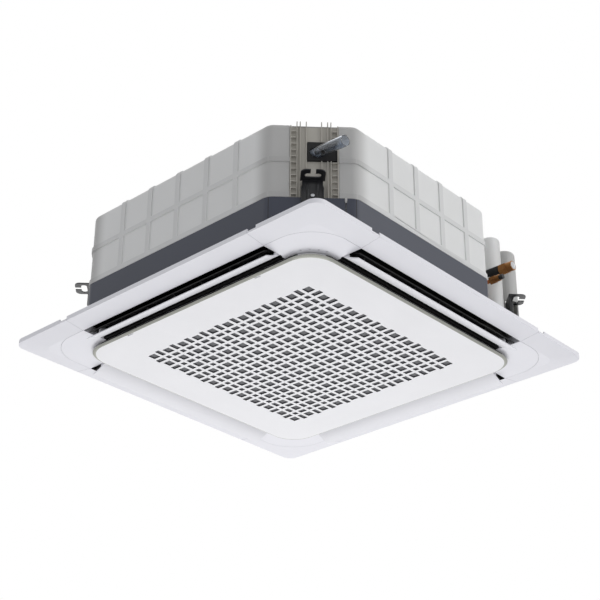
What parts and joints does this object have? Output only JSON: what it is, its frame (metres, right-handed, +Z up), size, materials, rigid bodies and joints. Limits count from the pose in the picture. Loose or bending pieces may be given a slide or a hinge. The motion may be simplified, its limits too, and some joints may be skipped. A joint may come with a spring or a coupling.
{
  "type": "ceiling cassette air conditioner",
  "caption": "Ceiling cassette indoor unit: square panel with outlet vanes and a hinged intake grille below a ribbed casing with fan, coil, drain pump, pipe connections and hanger brackets.",
  "frame": {"origin": "centre of the four suspension slots, in the plane of the undersides of the hanger plates", "axes": "+Z up towards the slab that carries the unit; the decoration panel faces -Z; +X to the side with the pipe pocket, the drain corner is at +X -Y and the pipe corner at +X +Y"},
  "size_m": [0.95, 0.95, 0.3352],
  "materials": {
    "panel_white": "satin",
    "grille_white": "satin",
    "vane_white": "satin",
    "trim_champagne": "satin",
    "deflector_black": "matte",
    "filter_grey": "matte",
    "lens_grey": "satin",
    "board_green": "satin",
    "motor_case": "satin",
    "slate_steel": "satin",
    "bracket_steel": "satin",
    "zinc_steel": "satin",
    "bolt_steel": "satin",
    "cover_cream": "satin",
    "block_cream": "matte",
    "foam_black": "matte",
    "foam_white": "matte",
    "liner_grey": "matte",
    "clear_tube": "gloss",
    "pipe_grey": "satin",
    "pump_black": "satin",
    "float_white": "satin",
    "fin_aluminium": "satin",
    "copper": "satin",
    "nut_brass": "satin",
    "bell_black": "satin",
    "fan_white": "satin",
    "shaft_steel": "polished",
    "motor_steel": "satin",
    "rubber_black": "matte"
  },
  "bodies": {
    "root": {"base_frame": "slate_steel", "bell_mouth": "bell_black", "bracket_bolts": "bolt_steel", "casing_cover": "cover_cream", "coil_end_plates": "zinc_steel", "coil_fins": "fin_aluminium", "coil_return_bends": "copper", "control_board": "board_green", "control_box": "zinc_steel", "control_box_lid": "zinc_steel", "corner_cover_drain": "panel_white", "corner_cover_left_back": "panel_white", "corner_cover_left_front": "panel_white", "corner_cover_pipe": "panel_white", "drain_corner_block": "block_cream", "drain_pad": "foam_black", "drain_pan": "foam_white", "drain_pipe": "pipe_grey", "drain_pump": "pump_black", "drain_socket": "clear_tube", "fan_motor": "motor_steel", "flare_nuts": "nut_brass", "gas_sleeve": "foam_black", "grille_hinge_lugs": "panel_white", "hanger_bracket_drain": "bracket_steel", "hanger_bracket_left_back": "bracket_steel", "hanger_bracket_left_front": "bracket_steel", "hanger_bracket_pipe": "bracket_steel", "indicator_board": "board_green", "indicator_lenses": "lens_grey", "insulation_liner": "liner_grey", "liquid_cap": "rubber_black", "motor_bracket": "zinc_steel", "motor_grommets": "rubber_black", "panel_frame": "panel_white", "panel_screws": "bolt_steel", "panel_seal": "foam_black", "pipe_corner_cover": "cover_cream", "pump_bracket": "pipe_grey", "refrigerant_pipes": "copper", "top_plate": "zinc_steel", "vane_motors": "motor_case"},
    "vane_right": {"vane_right": "vane_white", "vane_deflector_right": "deflector_black"},
    "vane_back": {"vane_back": "vane_white", "vane_deflector_back": "deflector_black"},
    "vane_left": {"vane_left": "vane_white", "vane_deflector_left": "deflector_black"},
    "vane_front": {"vane_front": "vane_white", "vane_deflector_front": "deflector_black"},
    "grille": {"intake_grille": "grille_white", "grille_edge_trim": "trim_champagne", "filter_frame": "filter_grey", "filter_mesh": "filter_grey"},
    "catch_left": {"grille_catch_left": "grille_white"},
    "catch_right": {"grille_catch_right": "grille_white"},
    "fan": {"fan_wheel": "fan_white", "fan_shaft": "shaft_steel", "fan_nut": "bolt_steel"},
    "float": {"drain_float": "float_white"}
  },
  "joints": [
    {"name": "vane_right_tilt", "type": "hinge", "parent": "root", "child": "vane_right", "pos_m": [0.382, 0, -0.1535], "axis": [0, 1, 0], "range_deg": [-26, 30]},
    {"name": "vane_back_tilt", "type": "hinge", "parent": "root", "child": "vane_back", "pos_m": [0, 0.382, -0.1535], "axis": [-1, 0, 0], "range_deg": [-26, 30]},
    {"name": "vane_left_tilt", "type": "hinge", "parent": "root", "child": "vane_left", "pos_m": [-0.382, 0, -0.1535], "axis": [0, -1, 0], "range_deg": [-26, 30]},
    {"name": "vane_front_tilt", "type": "hinge", "parent": "root", "child": "vane_front", "pos_m": [0, -0.382, -0.1535], "axis": [1, 0, 0], "range_deg": [-26, 30]},
    {"name": "grille_swing", "type": "hinge", "parent": "root", "child": "grille", "pos_m": [0, -0.359, -0.1715], "axis": [-1, 0, 0], "range_deg": [0, 75]},
    {"name": "catch_left_slide", "type": "slide", "parent": "grille", "child": "catch_left", "axis": [0, -1, 0], "range_m": [0, 0.005], "stiffness_N_per_m": 200},
    {"name": "catch_right_slide", "type": "slide", "parent": "grille", "child": "catch_right", "axis": [0, -1, 0], "range_m": [0, 0.005], "stiffness_N_per_m": 200},
    {"name": "fan_spin", "type": "hinge", "parent": "root", "child": "fan", "pos_m": [0, 0, 0], "axis": [0, 0, 1], "continuous": true},
    {"name": "float_rise", "type": "slide", "parent": "root", "child": "float", "axis": [0, 0, 1], "range_m": [0, 0.012]}
  ]
}
